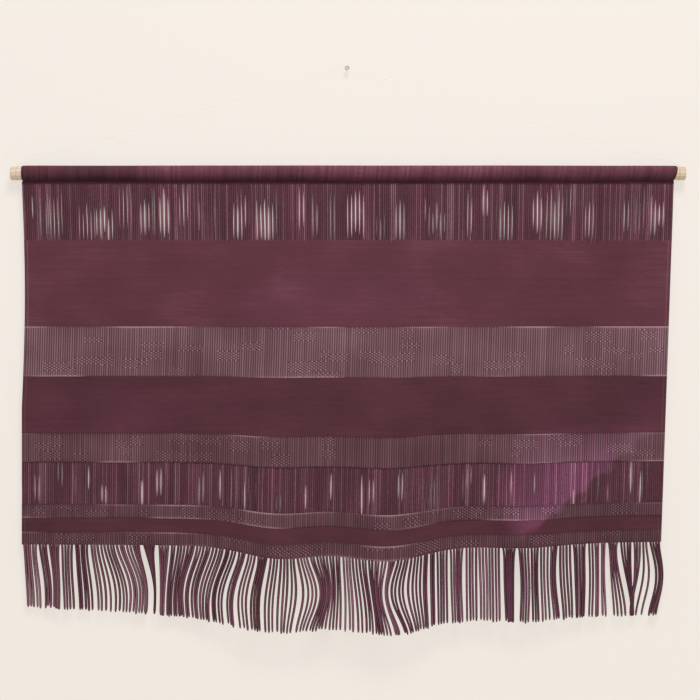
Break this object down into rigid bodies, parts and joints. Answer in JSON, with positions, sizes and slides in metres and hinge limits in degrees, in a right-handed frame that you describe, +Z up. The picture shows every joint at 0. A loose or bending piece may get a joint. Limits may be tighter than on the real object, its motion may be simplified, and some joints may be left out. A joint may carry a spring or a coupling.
{
  "type": "tapestry wall hanging",
  "caption": "Woven cloth wall hanging with plain and ribbed bands, open warp sections and a long fringe, on a round wooden dowel hung from a nail by a clear line.",
  "frame": {"origin": "where the nail's axis enters the wall's face", "axes": "+Z up, +Y into the wall, +X to the right as seen from the front"},
  "size_m": [1.235, 0.0938, 1.0344],
  "materials": {
    "pale_wood": "smooth pale hardwood, unvarnished",
    "nail_steel": "dull grey steel",
    "clear_line": "clear glossy monofilament",
    "plain_weave": "smooth dense plum weave",
    "ribbed_weave": "ribbed greyed plum weave",
    "warp_yarn": "bare plum yarn",
    "fringe_yarn": "loose plum yarn"
  },
  "bodies": {
    "nail": {"wall_nail": "nail_steel"},
    "hanger": {"hanging_line": "clear_line", "line_loop_left": "clear_line", "line_loop_right": "clear_line", "line_knot_left": "clear_line", "line_knot_right": "clear_line"},
    "dowel": {"dowel": "pale_wood"},
    "sleeve": {"rod_pocket": "plain_weave", "pocket_seam": "plain_weave"},
    "panel": {"upper_open_warp": "warp_yarn", "plain_band_1": "plain_weave", "textured_band_1": "ribbed_weave", "plain_band_2": "plain_weave", "textured_band_2": "ribbed_weave"},
    "hem": {"lower_open_warp": "warp_yarn", "textured_band_3": "ribbed_weave", "plain_band_3": "plain_weave", "textured_band_4": "ribbed_weave"},
    "lock_01": {"fringe_lock_01": "fringe_yarn"},
    "lock_02": {"fringe_lock_02": "fringe_yarn"},
    "lock_03": {"fringe_lock_03": "fringe_yarn"},
    "lock_04": {"fringe_lock_04": "fringe_yarn"},
    "lock_05": {"fringe_lock_05": "fringe_yarn"},
    "lock_06": {"fringe_lock_06": "fringe_yarn"},
    "lock_07": {"fringe_lock_07": "fringe_yarn"},
    "lock_08": {"fringe_lock_08": "fringe_yarn"},
    "lock_09": {"fringe_lock_09": "fringe_yarn"},
    "lock_10": {"fringe_lock_10": "fringe_yarn"},
    "lock_11": {"fringe_lock_11": "fringe_yarn"},
    "lock_12": {"fringe_lock_12": "fringe_yarn"},
    "lock_13": {"fringe_lock_13": "fringe_yarn"},
    "lock_14": {"fringe_lock_14": "fringe_yarn"},
    "lock_15": {"fringe_lock_15": "fringe_yarn"},
    "lock_16": {"fringe_lock_16": "fringe_yarn"},
    "lock_17": {"fringe_lock_17": "fringe_yarn"},
    "lock_18": {"fringe_lock_18": "fringe_yarn"}
  },
  "joints": [
    {"name": "hanger_tilt", "type": "hinge", "parent": "nail", "child": "hanger", "pos_m": [0, -0.008, 0], "axis": [0, 1, 0], "range_deg": [-6, 6]},
    {"name": "dowel_roll", "type": "hinge", "parent": "hanger", "child": "dowel", "pos_m": [0.002, -0.0168, -0.1935], "axis": [1, 0, 0], "continuous": true},
    {"name": "sleeve_slide", "type": "slide", "parent": "hanger", "child": "sleeve", "axis": [1, 0, 0], "range_m": [-0.006, 0.001]},
    {"name": "panel_swing", "type": "hinge", "parent": "sleeve", "child": "panel", "pos_m": [0, -0.0168, -0.2121], "axis": [-1, 0, 0], "range_deg": [0, 45]},
    {"name": "hem_swing", "type": "hinge", "parent": "panel", "child": "hem", "pos_m": [0, -0.03447, -0.7256], "axis": [-1, 0, 0], "range_deg": [-3, 45]},
    {"name": "lock_01_swing", "type": "hinge", "parent": "hem", "child": "lock_01", "pos_m": [-0.56299, -0.01772, -0.87326], "axis": [-1, 0.0072, 0.0026], "range_deg": [-6, 25]},
    {"name": "lock_02_swing", "type": "hinge", "parent": "hem", "child": "lock_02", "pos_m": [-0.49796, -0.01829, -0.87345], "axis": [-0.9999, 0.0103, 0.0033], "range_deg": [-6, 25]},
    {"name": "lock_03_swing", "type": "hinge", "parent": "hem", "child": "lock_03", "pos_m": [-0.43293, -0.01908, -0.8737], "axis": [-0.9999, 0.014, 0.0043], "range_deg": [-6, 25]},
    {"name": "lock_04_swing", "type": "hinge", "parent": "hem", "child": "lock_04", "pos_m": [-0.3679, -0.02014, -0.87403], "axis": [-0.9998, 0.0195, 0.0062], "range_deg": [-6, 25]},
    {"name": "lock_05_swing", "type": "hinge", "parent": "hem", "child": "lock_05", "pos_m": [-0.30288, -0.02227, -0.87486], "axis": [-0.9982, 0.0545, 0.0238], "range_deg": [-6, 25]},
    {"name": "lock_06_swing", "type": "hinge", "parent": "hem", "child": "lock_06", "pos_m": [-0.23785, -0.03047, -0.87885], "axis": [-0.9716, 0.2116, 0.1062], "range_deg": [-6, 25]},
    {"name": "lock_07_swing", "type": "hinge", "parent": "hem", "child": "lock_07", "pos_m": [-0.17282, -0.0496, -0.88856], "axis": [-0.9397, 0.3046, 0.1552], "range_deg": [-6, 25]},
    {"name": "lock_08_swing", "type": "hinge", "parent": "hem", "child": "lock_08", "pos_m": [-0.10779, -0.06073, -0.89405], "axis": [-0.9998, -0.0135, -0.0127], "range_deg": [-6, 25]},
    {"name": "lock_09_swing", "type": "hinge", "parent": "hem", "child": "lock_09", "pos_m": [-0.04276, -0.05644, -0.89148], "axis": [-0.9994, -0.0279, -0.0187], "range_deg": [-6, 25]},
    {"name": "fringe_swing", "type": "hinge", "parent": "hem", "child": "lock_10", "pos_m": [0.02226, -0.06352, -0.89499], "axis": [-0.9767, 0.1909, 0.0976], "range_deg": [-6, 25]},
    {"name": "lock_11_swing", "type": "hinge", "parent": "hem", "child": "lock_11", "pos_m": [0.08729, -0.06672, -0.89638], "axis": [-0.9859, -0.1455, -0.0831], "range_deg": [-6, 25]},
    {"name": "lock_12_swing", "type": "hinge", "parent": "hem", "child": "lock_12", "pos_m": [0.15232, -0.04887, -0.8863], "axis": [-0.9366, -0.3036, -0.175], "range_deg": [-6, 25]},
    {"name": "lock_13_swing", "type": "hinge", "parent": "hem", "child": "lock_13", "pos_m": [0.21735, -0.03689, -0.87796], "axis": [-0.9981, -0.0185, -0.0592], "range_deg": [-6, 25]},
    {"name": "lock_14_swing", "type": "hinge", "parent": "hem", "child": "lock_14", "pos_m": [0.28238, -0.04205, -0.87696], "axis": [-0.9934, 0.1142, 0.0084], "range_deg": [-6, 25]},
    {"name": "lock_15_swing", "type": "hinge", "parent": "hem", "child": "lock_15", "pos_m": [0.3474, -0.04143, -0.87592], "axis": [-0.9882, -0.1462, -0.0448], "range_deg": [-6, 25]},
    {"name": "lock_16_swing", "type": "hinge", "parent": "hem", "child": "lock_16", "pos_m": [0.41243, -0.02893, -0.87233], "axis": [-0.9815, -0.1842, -0.0532], "range_deg": [-6, 25]},
    {"name": "lock_17_swing", "type": "hinge", "parent": "hem", "child": "lock_17", "pos_m": [0.47746, -0.02114, -0.8698], "axis": [-0.998, -0.0582, -0.0247], "range_deg": [-6, 25]},
    {"name": "lock_18_swing", "type": "hinge", "parent": "hem", "child": "lock_18", "pos_m": [0.54249, -0.01901, -0.86857], "axis": [-0.9998, -0.0164, -0.0152], "range_deg": [-6, 25]}
  ],
  "couplings": [
    {"joint": "lock_01_swing", "follows": "fringe_swing", "ratio": 1},
    {"joint": "lock_02_swing", "follows": "fringe_swing", "ratio": 1},
    {"joint": "lock_03_swing", "follows": "fringe_swing", "ratio": 1},
    {"joint": "lock_04_swing", "follows": "fringe_swing", "ratio": 1},
    {"joint": "lock_05_swing", "follows": "fringe_swing", "ratio": 1},
    {"joint": "lock_06_swing", "follows": "fringe_swing", "ratio": 1},
    {"joint": "lock_07_swing", "follows": "fringe_swing", "ratio": 1},
    {"joint": "lock_08_swing", "follows": "fringe_swing", "ratio": 1},
    {"joint": "lock_09_swing", "follows": "fringe_swing", "ratio": 1},
    {"joint": "lock_11_swing", "follows": "fringe_swing", "ratio": 1},
    {"joint": "lock_12_swing", "follows": "fringe_swing", "ratio": 1},
    {"joint": "lock_13_swing", "follows": "fringe_swing", "ratio": 1},
    {"joint": "lock_14_swing", "follows": "fringe_swing", "ratio": 1},
    {"joint": "lock_15_swing", "follows": "fringe_swing", "ratio": 1},
    {"joint": "lock_16_swing", "follows": "fringe_swing", "ratio": 1},
    {"joint": "lock_17_swing", "follows": "fringe_swing", "ratio": 1},
    {"joint": "lock_18_swing", "follows": "fringe_swing", "ratio": 1}
  ]
}
